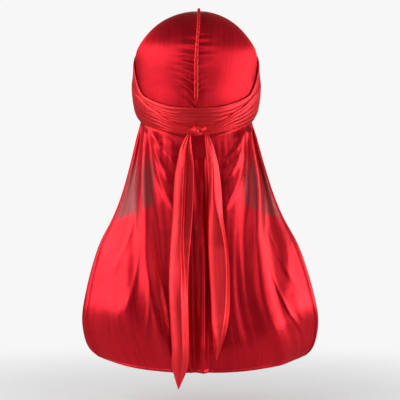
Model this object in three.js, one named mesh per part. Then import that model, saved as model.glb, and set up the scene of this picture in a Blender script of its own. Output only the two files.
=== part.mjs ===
// A satin durag in the shape it has when worn. Two crown panels are joined by a raised seam over the
// middle of the head, a wide cape hangs from them behind, and the long ties go round the head, cross on
// the forehead, come back over the cape and are knotted at the nape, where their ends hang down.
//
// Millimetres. +X is the wearer's right, +Y the front and +Z up. The origin is the middle of the head,
// level with its widest girth. Azimuths are in degrees round +Z, 0 at the back and 180 at the forehead.

import * as THREE from "three";

// The head that the cloth is stretched over, measured from the origin
const headHalfWidth = 80.4;
const headBackDepth = 99.8;
const headFrontDepth = 97;
const headTopRise = 94;
const headTaperDrop = 125; // the depth at which the narrowing towards the neck would close
const headGirthPower = 1.85;
const headTopPower = 2.7;
const headTaperPower = 2;
const headSwell = 3; // how far its sides stand out above the widest girth
const headSwellHeight = 42;
const headSwellReach = 17;

// Cloth, and the clear space between two layers of it
const crownWall = 1;
const capeWall = 1;
const tieWall = 1;
const layerGap = 0.5;

// Crown
const hemHeight = 6;
const hemExtra = 0.6;

// Centre seam: its two turned edges stand up in a soft bead
const seamWidth = 1.4;
const seamBeadWidth = 3.8;
const seamBeadRise = 3.4;
const seamClearance = 0.3;

// Ties where they lie flat round the head
const bandWidth = 44;
const pleatDepth = 0.5;
const pleatCount = 4;

// Knot
const knotWidth = 19;
const knotHeight = 13;
const knotDepth = 12;
const knotSide = 2;
const knotClearance = 0.5;
const knotCrease = 0.18; // depth of its slanting creases, as a share of its size

// Cape
const capeSpreadAngle = 76; // azimuth of its two top corners
const capeTuck = 12; // how far it goes up under the ties
const capeHalfWidth = 151;
const capeCornerOut = 134;
const capeCornerDrop = 357; // below the origin
const capeCornerBack = 60;
const capeHemSag = 17; // the hem's middle below its corners
const capeMiddleBack = 112;
const capeLean = 6; // the hem hangs this far to the right of the head's middle
const capeFoldDepth = 9;
const capeHemTuck = 12; // how far the hem turns in towards the wearer's back
const capeHemWidth = 3.5;
const capeHemExtra = 1.4;

// Hanging ends of the ties
const tailWidth = 25;
const tailThickness = 3;
const tailClearance = 1.2;
const tailStart = 0.25; // below the knot's middle, as a share of knotHeight
const tailSeatClearance = 0.35;
const tailEdge = 0.35; // thickness at its edges, as a share of tailThickness
const tailGrooveDepth = 0.7; // of the lengthwise groove, as a share of tailThickness
const tailGrooveWidth = 0.28; // of the same, as a share of half the end's width
const tailBerth = 12; // how far round itself a hanging end keeps clear of the cape's folds
const tailLeftDrop = 323;
const tailRightDrop = 286;

// Heights in these tables are shares of headTopRise, and widths are shares of bandWidth.

// The crown's lower edge, covered by the ties but for the forehead
const rimLine = [
  { azimuth: 0, height: -0.74 },
  { azimuth: 40, height: -0.66 },
  { azimuth: 62, height: -0.55 },
  { azimuth: 75, height: -0.37 },
  { azimuth: 90, height: -0.17 },
  { azimuth: 105, height: 0 },
  { azimuth: 120, height: 0.06 },
  { azimuth: 150, height: 0.075 },
  { azimuth: 180, height: 0.065 },
];

// Where the cape comes out from under the ties
const capeLine = [
  { azimuth: 0, height: -0.805 },
  { azimuth: 23, height: -0.78 },
  { azimuth: 39, height: -0.715 },
  { azimuth: 55, height: -0.64 },
  { azimuth: 76, height: -0.55 },
];

// The first turn of the ties: its middle and its width
const bandLine = [
  { azimuth: 0, height: -0.6, width: 0.8 },
  { azimuth: 20, height: -0.575, width: 0.78 },
  { azimuth: 32, height: -0.53, width: 0.76 },
  { azimuth: 45, height: -0.46, width: 0.74 },
  { azimuth: 58, height: -0.38, width: 0.8 },
  { azimuth: 70, height: -0.2, width: 0.94 },
  { azimuth: 80, height: 0, width: 1 },
  { azimuth: 90, height: 0.13, width: 1 },
  { azimuth: 105, height: 0.26, width: 0.97 },
  { azimuth: 120, height: 0.34, width: 0.98 },
  { azimuth: 150, height: 0.4, width: 1.04 },
  { azimuth: 180, height: 0.41, width: 1.04 },
];

// The second turn of a tie, from the knot forwards on its own side, over the forehead and under the other
// tie at the far temple. over is how many layers of tie it lies on: the right one crosses over the left.
const tieLine = [
  { azimuth: 6.6, height: -0.72, width: 0.2, overLeft: 1.8, overRight: 1.8 },
  { azimuth: 15, height: -0.7, width: 0.27, overLeft: 1.1, overRight: 1.1 },
  { azimuth: 22, height: -0.675, width: 0.33, overLeft: 1, overRight: 1 },
  { azimuth: 32, height: -0.62, width: 0.45, overLeft: 1, overRight: 1 },
  { azimuth: 39, height: -0.57, width: 0.57, overLeft: 1, overRight: 1 },
  { azimuth: 48, height: -0.52, width: 0.66, overLeft: 1, overRight: 1 },
  { azimuth: 62, height: -0.415, width: 0.86, overLeft: 1, overRight: 1 },
  { azimuth: 74, height: -0.325, width: 0.94, overLeft: 1, overRight: 1 },
  { azimuth: 90, height: -0.13, width: 0.94, overLeft: 1, overRight: 1 },
  { azimuth: 98, height: 0.0, width: 0.92, overLeft: 1.3, overRight: 1.3 },
  { azimuth: 106, height: 0.13, width: 0.88, overLeft: 2, overRight: 2 },
  { azimuth: 120, height: 0.33, width: 0.76, overLeft: 2, overRight: 2 },
  { azimuth: 132, height: 0.46, width: 0.66, overLeft: 2, overRight: 2 },
  { azimuth: 142, height: 0.51, width: 0.62, overLeft: 1.3, overRight: 2 },
  { azimuth: 152, height: 0.51, width: 0.6, overLeft: 1, overRight: 2 },
  { azimuth: 180, height: 0.41, width: 0.58, overLeft: 1, overRight: 2 },
  { azimuth: 200, height: 0.29, width: 0.58, overLeft: 1, overRight: 2 },
  { azimuth: 212, height: 0.2, width: 0.6, overLeft: 1, overRight: 2 },
  { azimuth: 224, height: 0.16, width: 0.6, overLeft: 1, overRight: 1.1 },
  { azimuth: 232, height: 0.15, width: 0.58, overLeft: 1, overRight: 1 },
  { azimuth: 248, height: 0.15, width: 0.52, overLeft: 1, overRight: 1 },
];

// The cape's hanging edges: how far they bow out from a straight line, as a share of capeHalfWidth
const capeEdge = [
  { down: 0, bow: 0 },
  { down: 0.1, bow: 0.008 },
  { down: 0.2, bow: 0.02 },
  { down: 0.32, bow: 0.046 },
  { down: 0.42, bow: 0.088 },
  { down: 0.52, bow: 0.152 },
  { down: 0.62, bow: 0.182 },
  { down: 0.74, bow: 0.195 },
  { down: 0.84, bow: 0.188 },
  { down: 0.92, bow: 0.14 },
  { down: 0.97, bow: 0.08 },
  { down: 1, bow: 0 },
];

// The cape is laid out at five levels, from the ties to the hem. A line of its cloth, -1 at the left edge
// and 1 at the right one, runs down through these places across it, in shares of half its width.
const capeLevels = [0, 0.25, 0.5, 0.75, 1];
const capeFlow = [
  { line: -1, at: [-1, -1, -1, -1, -1] },
  { line: -0.66, at: [-0.85, -0.75, -0.57, -0.43, -0.32] },
  { line: 0, at: [0, 0.02, 0.03, 0.02, 0.015] },
  { line: 0.66, at: [0.87, 0.81, 0.61, 0.6, 0.78] },
  { line: 1, at: [1, 1, 1, 1, 1] },
];

// Its folds, at seven levels from the ties to the hem: the line that each follows, how far it stands out (or
// in, where negative) as a share of capeFoldDepth, and its width in lines
const foldLevels = [0, 0.1, 0.3, 0.5, 0.7, 0.88, 1];
const same = (value) => foldLevels.map(() => value);
const capeFolds = [
  { line: same(-0.93), out: [0.2, 0.3, 0.3, 0.1, 0, 0, 0], width: same(0.06) },
  { line: same(-0.8), out: [-0.2, -0.5, -0.1, 0.2, 0.2, 0.1, 0], width: same(0.1) },
  {
    line: [-0.62, -0.66, -0.61, -0.62, -0.59, -0.55, -0.52],
    out: [0.5, 0.9, 1, 0.9, 0.8, 0.5, 0.2],
    width: [0.06, 0.06, 0.06, 0.07, 0.08, 0.09, 0.1],
  },
  {
    line: [-0.55, -0.54, -0.47, -0.49, -0.52, -0.5, -0.47],
    out: [-0.5, -1.2, -1.5, -1.5, -1.3, -0.9, -0.3],
    width: [0.06, 0.06, 0.11, 0.1, 0.08, 0.08, 0.08],
  },
  {
    line: [-0.48, -0.43, -0.28, -0.22, -0.2, -0.2, -0.2],
    out: [0.5, 0.8, 0.7, 0.4, 0.2, 0.1, 0],
    width: same(0.09),
  },
  {
    line: [0.01, 0.01, 0.03, 0.03, 0.03, 0.03, 0.03],
    out: [-1, -1.5, -1.2, -0.6, -0.4, -0.2, 0],
    width: same(0.1),
  },
  { line: same(-0.1), out: [0, 0, -0.3, -0.7, -0.7, -0.6, -0.3], width: same(0.06) },
  { line: same(0.02), out: [0, 0.1, 0.3, 0.7, 0.8, 0.7, 0.5], width: same(0.05) },
  { line: same(0.08), out: [-0.2, -0.4, -0.8, -1.1, -1, -0.6, -0.2], width: same(0.05) },
  { line: same(0.38), out: [0, 0, 0, 0.3, 0.5, 0.4, 0.1], width: same(0.1) },
  {
    line: [0.58, 0.47, 0.26, 0.3, 0.3, 0.3, 0.3],
    out: [0.6, 0.9, 0.7, 0.4, 0.2, 0, 0],
    width: same(0.1),
  },
  {
    line: [0.62, 0.545, 0.43, 0.46, 0.5, 0.5, 0.45],
    out: [-0.6, -1.2, -1.3, -1.4, -1.1, -0.6, -0.2],
    width: [0.06, 0.06, 0.09, 0.1, 0.08, 0.08, 0.08],
  },
  {
    line: [0.68, 0.64, 0.64, 0.64, 0.63, 0.68, 0.75],
    out: [0.5, 0.9, 0.9, 1, 0.9, 0.6, 0.1],
    width: same(0.06),
  },
  { line: same(0.8), out: [-0.3, -0.5, -0.5, -0.3, -0.1, 0, 0], width: same(0.08) },
  {
    line: [0.91, 0.91, 0.91, 0.9, 0.8, 0.77, 0.76],
    out: [0.3, 0.3, 0.3, 0.4, 0.4, 0.3, 0],
    width: same(0.06),
  },
];

// Where it billows over its lower sides: the line and the level of the billow's middle, its width in lines,
// its length in levels and its rise as a share of capeFoldDepth
const capeBillows = [
  { line: -0.76, down: 0.6, width: 0.3, length: 0.22, rise: 1 },
  { line: 0.86, down: 0.66, width: 0.2, length: 0.19, rise: 1 },
];

// The hanging ends, from the knot down: the middle's place to the side and the width, in shares of
// tailWidth, and how deep the lengthwise groove is
const tailLeftLine = [
  { down: 0, side: -0.4, width: 0.16, groove: 0.1 },
  { down: 0.03, side: -0.52, width: 0.4, groove: 0.5 },
  { down: 0.06, side: -0.6, width: 0.6, groove: 0.8 },
  { down: 0.12, side: -0.63, width: 0.86, groove: 0.9 },
  { down: 0.18, side: -0.69, width: 1, groove: 0.9 },
  { down: 0.34, side: -0.82, width: 1.03, groove: 0.7 },
  { down: 0.45, side: -0.9, width: 1.02, groove: 0.4 },
  { down: 0.6, side: -0.93, width: 0.97, groove: 0.15 },
  { down: 0.72, side: -0.89, width: 0.95, groove: 0 },
  { down: 0.84, side: -0.88, width: 0.88, groove: 0 },
  { down: 0.91, side: -0.93, width: 0.82, groove: 0 },
  { down: 1, side: -1.02, width: 0.06, groove: 0 },
];
const tailRightLine = [
  { down: 0, side: 0.44, width: 0.16, groove: 0.1 },
  { down: 0.045, side: 0.56, width: 0.38, groove: 0.3 },
  { down: 0.1, side: 0.69, width: 0.5, groove: 0.4 },
  { down: 0.15, side: 0.78, width: 0.58, groove: 0.5 },
  { down: 0.28, side: 0.9, width: 0.68, groove: 0.6 },
  { down: 0.37, side: 0.95, width: 0.77, groove: 0.6 },
  { down: 0.475, side: 1.04, width: 0.95, groove: 0.6 },
  { down: 0.58, side: 1.08, width: 1.04, groove: 0.5 },
  { down: 0.78, side: 1.09, width: 0.95, groove: 0.4 },
  { down: 0.85, side: 1.07, width: 0.82, groove: 0.3 },
  { down: 0.91, side: 1.04, width: 0.55, groove: 0.1 },
  { down: 1, side: 0.98, width: 0.06, groove: 0 },
];

const radians = THREE.MathUtils.degToRad;
const mix = THREE.MathUtils.lerp;
const ease = THREE.MathUtils.smoothstep;

// The value of one column of a table at a place along its key column, on a smooth curve through the rows
function read(table, key, column, place) {
  const last = table.length - 1;
  const at = THREE.MathUtils.clamp(place, table[0][key], table[last][key]);
  const i = Math.max(1, table.findIndex((row) => row[key] >= at)) - 1;
  const slope = (k) => {
    const before = table[Math.max(k - 1, 0)];
    const after = table[Math.min(k + 1, last)];
    return (after[column] - before[column]) / (after[key] - before[key]);
  };
  const [p, q] = [table[i], table[i + 1]];
  const span = q[key] - p[key];
  const t = (at - p[key]) / span;
  return (
    p[column] * (1 + 2 * t) * (1 - t) ** 2 +
    slope(i) * span * t * (1 - t) ** 2 +
    q[column] * t * t * (3 - 2 * t) +
    slope(i + 1) * span * t * t * (t - 1)
  );
}

// The head is a squared ellipsoid that narrows towards the neck. A layer of cloth is the same form with
// each half axis longer by its lift, so layers of different lift never meet.
function polarAt(height, lift) {
  const axis = (height >= 0 ? headTopRise : headTaperDrop) + lift;
  const power = height >= 0 ? headTopPower : headTaperPower;
  const share = Math.min(1, Math.abs(height) / axis) ** (power / 2);
  return Math.acos(height >= 0 ? share : -share);
}

function onHead(azimuth, polar, lift) {
  const upper = polar <= Math.PI / 2;
  const girth = Math.sin(polar) ** (2 / headGirthPower);
  const rise = Math.abs(Math.cos(polar)) ** (2 / (upper ? headTopPower : headTaperPower));
  const cosine = Math.cos(radians(azimuth));
  const depth = (cosine > 0 ? headBackDepth : headFrontDepth) + lift;
  const height = upper ? rise * (headTopRise + lift) : -rise * (headTaperDrop + lift);
  const swell = headSwell * Math.exp(-(((height - headSwellHeight) / headSwellReach) ** 2));
  return new THREE.Vector3(
    (headHalfWidth + swell + lift) * girth * Math.sin(radians(azimuth)),
    -depth * girth * cosine,
    height,
  );
}

const skin = (azimuth, height, lift) => onHead(azimuth, polarAt(height, lift), lift);

const heightOn = (table, azimuth) => headTopRise * read(table, "azimuth", "height", Math.abs(azimuth));
const halfWidthOn = (table, azimuth) => (bandWidth * read(table, "azimuth", "width", Math.abs(azimuth))) / 2;

// The ties' first turn lies on the crown, and over the cape's top edge behind
const capeLift = crownWall + layerGap;
const overCape = (azimuth) => 1 - ease(Math.abs(azimuth), capeSpreadAngle + 3, capeSpreadAngle + 18);
const firstLift = (azimuth) => capeLift + (capeWall + layerGap) * overCape(azimuth);
const tiePitch = tieWall + pleatDepth + layerGap;

// One closed skin of cloth from two like grids of points: its outer face, its inner face and the rim
// between them. The last row joins the first where ring is true.
function cloth(outer, inner, ring = false) {
  const rows = outer.length;
  const cols = outer[0].length;
  const points = [...outer.flat(), ...inner.flat()];
  const out = (i, j) => (i % rows) * cols + j;
  const ins = (i, j) => rows * cols + out(i, j);
  const faces = [];
  const triangle = (a, b, c) => {
    const apart = (p, q) => points[p].distanceToSquared(points[q]) > 1e-8;
    if (apart(a, b) && apart(b, c) && apart(c, a)) faces.push(a, b, c);
  };
  const quad = (a, b, c, d) => {
    triangle(a, b, c);
    triangle(a, c, d);
  };
  const end = cols - 1;
  for (let i = 0; i < (ring ? rows : rows - 1); i++) {
    for (let j = 0; j < end; j++) {
      quad(out(i, j), out(i + 1, j), out(i + 1, j + 1), out(i, j + 1));
      quad(ins(i, j), ins(i, j + 1), ins(i + 1, j + 1), ins(i + 1, j));
    }
    quad(ins(i, 0), ins(i + 1, 0), out(i + 1, 0), out(i, 0));
    quad(out(i, end), out(i + 1, end), ins(i + 1, end), ins(i, end));
  }
  for (let j = 0; j < end && !ring; j++) {
    quad(out(0, j), out(0, j + 1), ins(0, j + 1), ins(0, j));
    quad(ins(rows - 1, j), ins(rows - 1, j + 1), out(rows - 1, j + 1), out(rows - 1, j));
  }
  let volume = 0;
  for (let k = 0; k < faces.length; k += 3) {
    const [a, b, c] = faces.slice(k, k + 3).map((index) => points[index]);
    volume += a.dot(b.clone().cross(c));
  }
  if (volume < 0) faces.reverse();
  const geometry = new THREE.BufferGeometry().setFromPoints(points).setIndex(faces);
  geometry.computeVertexNormals();
  return geometry;
}

const grid = (rows, cols, point) => rows.map((row) => cols.map((col) => point(row, col)));
const steps = (from, to, count) => Array.from({ length: count + 1 }, (_, i) => mix(from, to, i / count));

// Crown panels, from the top of the head down to the edge, on one side of the centre seam
const seamHalf = seamWidth / 2 + seamClearance;

function crownPanel(side) {
  const point = (lift) => (row, azimuth) => {
    const rim = heightOn(rimLine, azimuth);
    const hem = polarAt(rim + hemHeight, lift);
    const polar = row <= 1 ? hem * row : mix(hem, polarAt(rim, lift), row - 1);
    const p = onHead(azimuth, polar, lift);
    return p.setX(side * (seamHalf + p.x * (1 - seamHalf / (headHalfWidth + lift))));
  };
  const outer = (row, azimuth) => {
    const turned = ease(row, 1, 1.2) * ease(azimuth, 135, 152);
    return point(crownWall + hemExtra * turned)(row, azimuth);
  };
  const azimuths = steps(0, 180, 20);
  const rows = [...steps(0, 1, 10), 1.25, 2];
  return cloth(grid(rows, azimuths, outer), grid(rows, azimuths, point(0)));
}

// Centre seam: a strip between the panels, with a bead that sinks where the ties cross it
const beadSection = [
  { out: 0, bead: 0, rise: 0 },
  { out: 1, bead: 0, rise: 0 },
  { out: 1, bead: 1, rise: 0.15 },
  { out: 1, bead: 1, rise: 0.65 },
  { out: 1, bead: 0.4, rise: 1 },
];

function centreSeam() {
  const bandEdge = (azimuth) => polarAt(heightOn(bandLine, azimuth) + halfWidthOn(bandLine, azimuth), 0);
  const settle = radians(4);
  const half = seamWidth / 2;
  const bead = seamBeadWidth / 2 - half;
  const section = (side) => (angle) => {
    const azimuth = angle < 0 ? 0 : 180;
    const clear = bandEdge(azimuth) - Math.abs(angle);
    const raised = mix(0.04, 1, ease(clear, 0.6 * settle, 1.6 * settle));
    return beadSection.map((row) => {
      const lift = row.out * (crownWall + seamClearance * raised) + row.rise * seamBeadRise * raised;
      return onHead(azimuth, Math.abs(angle), lift).setX(side * (half + row.bead * bead * raised));
    });
  };
  const angles = steps(-polarAt(heightOn(rimLine, 0), 0), polarAt(heightOn(rimLine, 180), 0), 34);
  return cloth(angles.map(section(-1)), angles.map(section(1)));
}

// A flat run of tie on the head: sections across it, pleated along its length
function tieRun(stations, ring = false) {
  const across = steps(1, -1, 2 * pleatCount);
  const face = (wall) => (s) =>
    across.map((q, j) => skin(s.azimuth, s.height + s.half * q, s.lift + wall(j)));
  const outer = stations.map(face((j) => tieWall + (j % 2) * pleatDepth));
  const inner = stations.map(face(() => 0));
  return cloth(outer, inner, ring);
}

function firstTurn() {
  const stations = steps(-180, 171, 39).map((azimuth) => ({
    azimuth,
    height: heightOn(bandLine, azimuth),
    half: halfWidthOn(bandLine, azimuth),
    lift: firstLift(azimuth),
  }));
  return tieRun(stations, true);
}

// The second turn of the left (side -1) or right (side 1) tie, which starts against the knot
function secondTurn(side, overColumn) {
  const knotTurn = THREE.MathUtils.radToDeg(Math.asin(knotSide / headHalfWidth));
  const [from, to] = [tieLine[0].azimuth + side * knotTurn, tieLine[tieLine.length - 1].azimuth];
  const stations = steps(from, to, 28).map((azimuth) => ({
    azimuth: side * azimuth,
    height: heightOn(tieLine, azimuth),
    half: halfWidthOn(tieLine, azimuth),
    lift: firstLift(azimuth) + tiePitch * read(tieLine, "azimuth", overColumn, azimuth),
  }));
  return tieRun(stations);
}

// Cape: on the head under the ties, then a patch between four edges, with the folds set on it
function capeOnHead(across, down) {
  const azimuth = across * capeSpreadAngle;
  const leaves = heightOn(capeLine, azimuth);
  return skin(azimuth, mix(leaves + capeTuck, leaves, down), capeLift);
}

function capeCorner(side) {
  return new THREE.Vector3(side * capeCornerOut + capeLean, -capeCornerBack, -capeCornerDrop);
}

function capeSide(side, down) {
  const p = capeOnHead(side, 1).lerp(capeCorner(side), down);
  p.x += side * capeHalfWidth * read(capeEdge, "down", "bow", down);
  return p;
}

function capeHem(across) {
  return new THREE.Vector3(
    across * capeCornerOut + capeLean,
    -mix(capeCornerBack, capeMiddleBack, 1 - across ** 2),
    -capeCornerDrop - capeHemSag * (1 - Math.abs(across) ** 3),
  );
}

function capeHangs(across, down) {
  const [left, right] = [(1 - across) / 2, (1 + across) / 2];
  const straight = (side) => capeOnHead(side, 1).lerp(capeCorner(side), down);
  return capeOnHead(across, 1)
    .lerp(capeHem(across), down)
    .addScaledVector(capeSide(-1, down).sub(straight(-1)), left)
    .addScaledVector(capeSide(1, down).sub(straight(1)), right);
}

const flowTables = capeFlow.map(({ line, at }) => ({
  line,
  rows: capeLevels.map((down, i) => ({ down, at: at[i] })),
}));
const foldTables = capeFolds.map(({ line, out, width }) =>
  foldLevels.map((down, i) => ({ down, line: line[i], out: out[i], width: width[i] })),
);

function acrossAt(line, down) {
  const places = flowTables.map((guide) => ({ line: guide.line, at: read(guide.rows, "down", "at", down) }));
  return read(places, "line", "at", line);
}

// The folds die away at the two side edges, which hang smooth
function foldHeight(line, down) {
  const heights = foldTables.map((rows) => {
    const off = (line - read(rows, "down", "line", down)) / read(rows, "down", "width", down);
    return read(rows, "down", "out", down) * Math.exp(-off * off);
  });
  const total = heights.reduce((sum, height) => sum + height, 0);
  return capeFoldDepth * ease(down, 0, 0.1) * (1 - line ** 10) * total;
}

// The sheet under the folds, with its billows, which end more sharply below, and its hem turned in
function capeSheet(line, down) {
  const p = capeHangs(acrossAt(line, down), down);
  for (const billow of capeBillows) {
    const beside = (line - billow.line) / billow.width;
    const below = (down - billow.down) / billow.length;
    p.y -= capeFoldDepth * billow.rise * Math.exp(-beside * beside - Math.abs(below) ** (below > 0 ? 4 : 2));
  }
  p.y += capeHemTuck * ease(down, 0.84, 1.02);
  return p;
}

// The sheet's normal is found from two short steps on it, and always points backwards
function capeNormal(line, down) {
  const step = 0.01;
  const [a, b] = [Math.min(line, 1 - step), Math.min(down, 1 - step)];
  const origin = capeSheet(a, b);
  const sideways = capeSheet(a + step, b).sub(origin);
  const downwards = capeSheet(a, b + step).sub(origin);
  const normal = sideways.cross(downwards).normalize();
  return normal.y > 0 ? normal.negate() : normal;
}

// row runs from 0 to 1 on the head and from 1 to 2 down the hanging part
function capePoint(line, row, lift) {
  const down = Math.max(row - 1, 0);
  const across = acrossAt(line, down);
  if (row <= 1) {
    return skin(across * capeSpreadAngle, capeOnHead(across, row).z, capeLift + lift);
  }
  const free = ease(down, 0, 0.08);
  const outward = capeOnHead(across, 1).setZ(0).normalize().multiplyScalar(1 - free);
  outward.addScaledVector(capeNormal(line, down), free).normalize();
  return capeSheet(line, down).addScaledVector(outward, foldHeight(line, down) + lift);
}

// Its rolled hem is a thicker strip along the sides and the bottom
const hemLines = capeHemWidth / capeHalfWidth;
const hemRows = capeHemWidth / capeCornerDrop;
const capeRows = [0, 0.5, 1, ...steps(1.035, 2 - 2 * hemRows, 18), 2 - hemRows, 2];

// Its lines lie closer together over the steep folds: from which line, and in how many steps to the next
const capeSpacing = [
  { from: -1 + 2 * hemLines, count: 3 },
  { from: -0.75, count: 8 },
  { from: -0.4, count: 4 },
  { from: -0.15, count: 6 },
  { from: 0.12, count: 2 },
  { from: 0.26, count: 11 },
  { from: 0.72, count: 3 },
  { from: 1 - 2 * hemLines, count: 1 },
];
const capeInnerLines = capeSpacing.flatMap(({ from, count }, i) => {
  const to = i + 1 < capeSpacing.length ? capeSpacing[i + 1].from : 1 - hemLines;
  return steps(from, to, count).slice(0, count);
});
const capeLines = [-1, -1 + hemLines, ...capeInnerLines, 1 - hemLines, 1];

function capeThickness(line, row) {
  const atSide = ease(Math.abs(line), 1 - 2 * hemLines, 1 - hemLines);
  const atHem = ease(row, 2 - 2 * hemRows, 2 - hemRows);
  return capeWall + capeHemExtra * Math.max(atSide, atHem) * ease(row, 1, 1.1);
}

const capeOuter = grid(capeRows, capeLines, (row, line) => capePoint(line, row, capeThickness(line, row)));
const capeInner = grid(capeRows, capeLines, (row, line) => capePoint(line, row, 0));

// Knot: a tight turn of cloth with slanting creases, on the first turn of the ties
const knotRest = skin(0, headTopRise * tieLine[0].height, firstLift(0) + tieWall + pleatDepth);
const knotCentre = new THREE.Vector3(knotSide, knotRest.y - knotClearance - knotDepth / 2, knotRest.z);

// Takes a point on a sphere of diameter 1 to the knot's surface, measured from its middle
function knotForm(p) {
  const turn = Math.atan2(p.y, p.x);
  const crease = 1 - knotCrease * (1 + Math.cos(4 * turn + 5 * p.z)) * Math.hypot(p.x, p.y);
  return p.clone().multiplyScalar(crease).multiply(new THREE.Vector3(knotWidth, knotDepth, knotHeight));
}

function knotBody() {
  const geometry = new THREE.SphereGeometry(0.5, 20, 12);
  const place = geometry.attributes.position;
  for (let i = 0; i < place.count; i++) {
    const p = knotForm(new THREE.Vector3().fromBufferAttribute(place, i));
    place.setXYZ(i, p.x, p.y, p.z);
  }
  geometry.deleteAttribute("uv");
  geometry.computeVertexNormals();
  return geometry;
}

// The furthest back that the cape reaches near a place
function capeBackNear(x, z, reach) {
  const near = capeOuter.flat().filter((p) => Math.abs(p.x - x) < reach && Math.abs(p.z - z) < reach);
  return Math.min(...near.map((p) => p.y));
}

// A hanging end: a strip folded lengthwise, which starts at the knot's side and hangs clear behind the
// cape, with a groove down its outer face
function tail(side, line, drop, grooveAt) {
  const onKnot = knotForm(new THREE.Vector3(side * Math.sqrt(0.25 - tailStart ** 2), 0, -tailStart));
  const seat = onKnot.x + side * tailSeatClearance;
  const across = steps(-1, 1, 6);
  const lowest = -capeCornerDrop - capeHemSag;
  const stations = [0, 0.015, ...steps(0.035, 1, 19)].map((down) => {
    const half = (tailWidth * read(line, "down", "width", down)) / 2;
    const away = mix(seat + side * half, tailWidth * read(line, "down", "side", down), ease(down, 0, 0.05));
    const x = knotCentre.x + away;
    const z = knotCentre.z + onKnot.z - drop * down;
    const cape = capeBackNear(x, Math.max(z, lowest), half + tailBerth);
    const back = Math.min(cape, knotCentre.y + tailThickness / 2) - tailClearance;
    return { x, z, half, back, groove: read(line, "down", "groove", down) };
  });
  const face = (outward) => (s) =>
    across.map((q) => {
      const groove = s.groove * Math.exp(-(((q - grooveAt) / tailGrooveWidth) ** 2));
      const round = mix(tailEdge, 1, Math.sqrt(1 - q ** 4));
      const depth = outward * tailThickness * round * (1 - tailGrooveDepth * groove);
      return new THREE.Vector3(s.x + s.half * q, s.back - depth, s.z);
    });
  return cloth(stations.map(face(1)), stations.map(face(0)));
}

const red = { color: 0xb3081c, roughness: 0.38, metalness: 0.35, side: THREE.DoubleSide };
const satin = new THREE.MeshStandardMaterial(red);
const satinTurned = new THREE.MeshStandardMaterial({ ...red, color: 0x9c0718 });

const durag = new THREE.Group();
function add(name, geometry, material = satin) {
  const mesh = new THREE.Mesh(geometry, material);
  mesh.name = name;
  durag.add(mesh);
  return mesh;
}

add("crown_left", crownPanel(-1));
add("crown_right", crownPanel(1));
add("centre_seam", centreSeam(), satinTurned);
add("cape", cloth(capeOuter, capeInner));
add("tie_first_turn", firstTurn());
add("tie_left", secondTurn(-1, "overLeft"));
add("tie_right", secondTurn(1, "overRight"));
add("knot", knotBody(), satinTurned).position.copy(knotCentre);
add("tail_left", tail(-1, tailLeftLine, tailLeftDrop, 0.35));
add("tail_right", tail(1, tailRightLine, tailRightDrop, -0.3));

export default durag;
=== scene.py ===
import math

import bmesh
import bpy
import numpy as np
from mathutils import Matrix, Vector


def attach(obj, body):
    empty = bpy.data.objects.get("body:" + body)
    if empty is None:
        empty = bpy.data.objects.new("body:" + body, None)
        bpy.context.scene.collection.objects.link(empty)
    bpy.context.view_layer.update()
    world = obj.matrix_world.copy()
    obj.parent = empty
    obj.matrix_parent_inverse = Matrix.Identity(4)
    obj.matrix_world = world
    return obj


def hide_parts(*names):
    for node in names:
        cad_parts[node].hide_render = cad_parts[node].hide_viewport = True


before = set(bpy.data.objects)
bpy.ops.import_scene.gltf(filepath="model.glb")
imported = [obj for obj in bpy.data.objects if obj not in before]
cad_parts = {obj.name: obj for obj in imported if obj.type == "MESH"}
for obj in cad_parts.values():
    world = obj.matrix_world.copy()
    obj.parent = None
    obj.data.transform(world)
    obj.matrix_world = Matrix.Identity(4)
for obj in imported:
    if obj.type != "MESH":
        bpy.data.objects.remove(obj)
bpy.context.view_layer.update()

# Crown panels
# Two shaped pieces of thin satin, one for each side of the head, sewn edge to edge over its middle. They
# are stretched tight, so they take the head's form, and pucker where the seam's stitching draws them in.
head_half_width = 0.0804
head_back_depth = 0.0998
head_front_depth = 0.097
head_top_rise = 0.094
head_taper_drop = 0.125
head_girth_power = 1.85
head_top_power = 2.7
head_taper_power = 2
head_swell = 0.003  # how far its sides stand out above the widest girth
head_swell_height = 0.042
head_swell_reach = 0.017
crown_wall = 0.001
crown_hem_height = 0.006
crown_hem_extra = 0.0006
seam_width = 0.0014
seam_clearance = 0.0003
seam_drift = 0.0036  # the seam leaves the middle by this much at the top of the head
seam_drift_heights = (0.01, 0.09)  # where it starts and where it is full
seam_drift_front = 0.07  # how far before the head's middle it has died out
crown_crowding = 0.11  # how much closer the mesh's columns lie at the nape and the brow
crown_reach = 0.2  # a panel's length from the seam to the rim on the flat cloth
brow_hem = (135, 152)  # azimuths over which the hem sets in towards the brow
pucker_ridge = 0.6  # height of the ridge over a furrow, as a share of the furrow's depth
pucker_ridge_up = 1.6  # how far above it the ridge lies, in its widths
front_puckers = (0.01, 0.06)  # places before the head's middle between which the front's puckers set in
front_pucker_share = 0.6  # their depth against those behind
front_pucker_drop = 0.004  # and how much lower they lie
thread_pitch = 0.00035  # of the satin's long threads
# Painted light: a darker red mixed into the cape's colour where light comes through the top of its sides,
# standing in for the look of that light
backlit_painted_red = (0.36, 0.008, 0.018)  # the cloth's colour where light comes through

rim_line = np.array([  # azimuth from the nape, height as a share of head_top_rise
    (0, -0.74), (40, -0.66), (62, -0.55), (75, -0.37), (90, -0.17), (105, 0), (120, 0.06), (150, 0.075),
    (180, 0.065),
])

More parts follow.
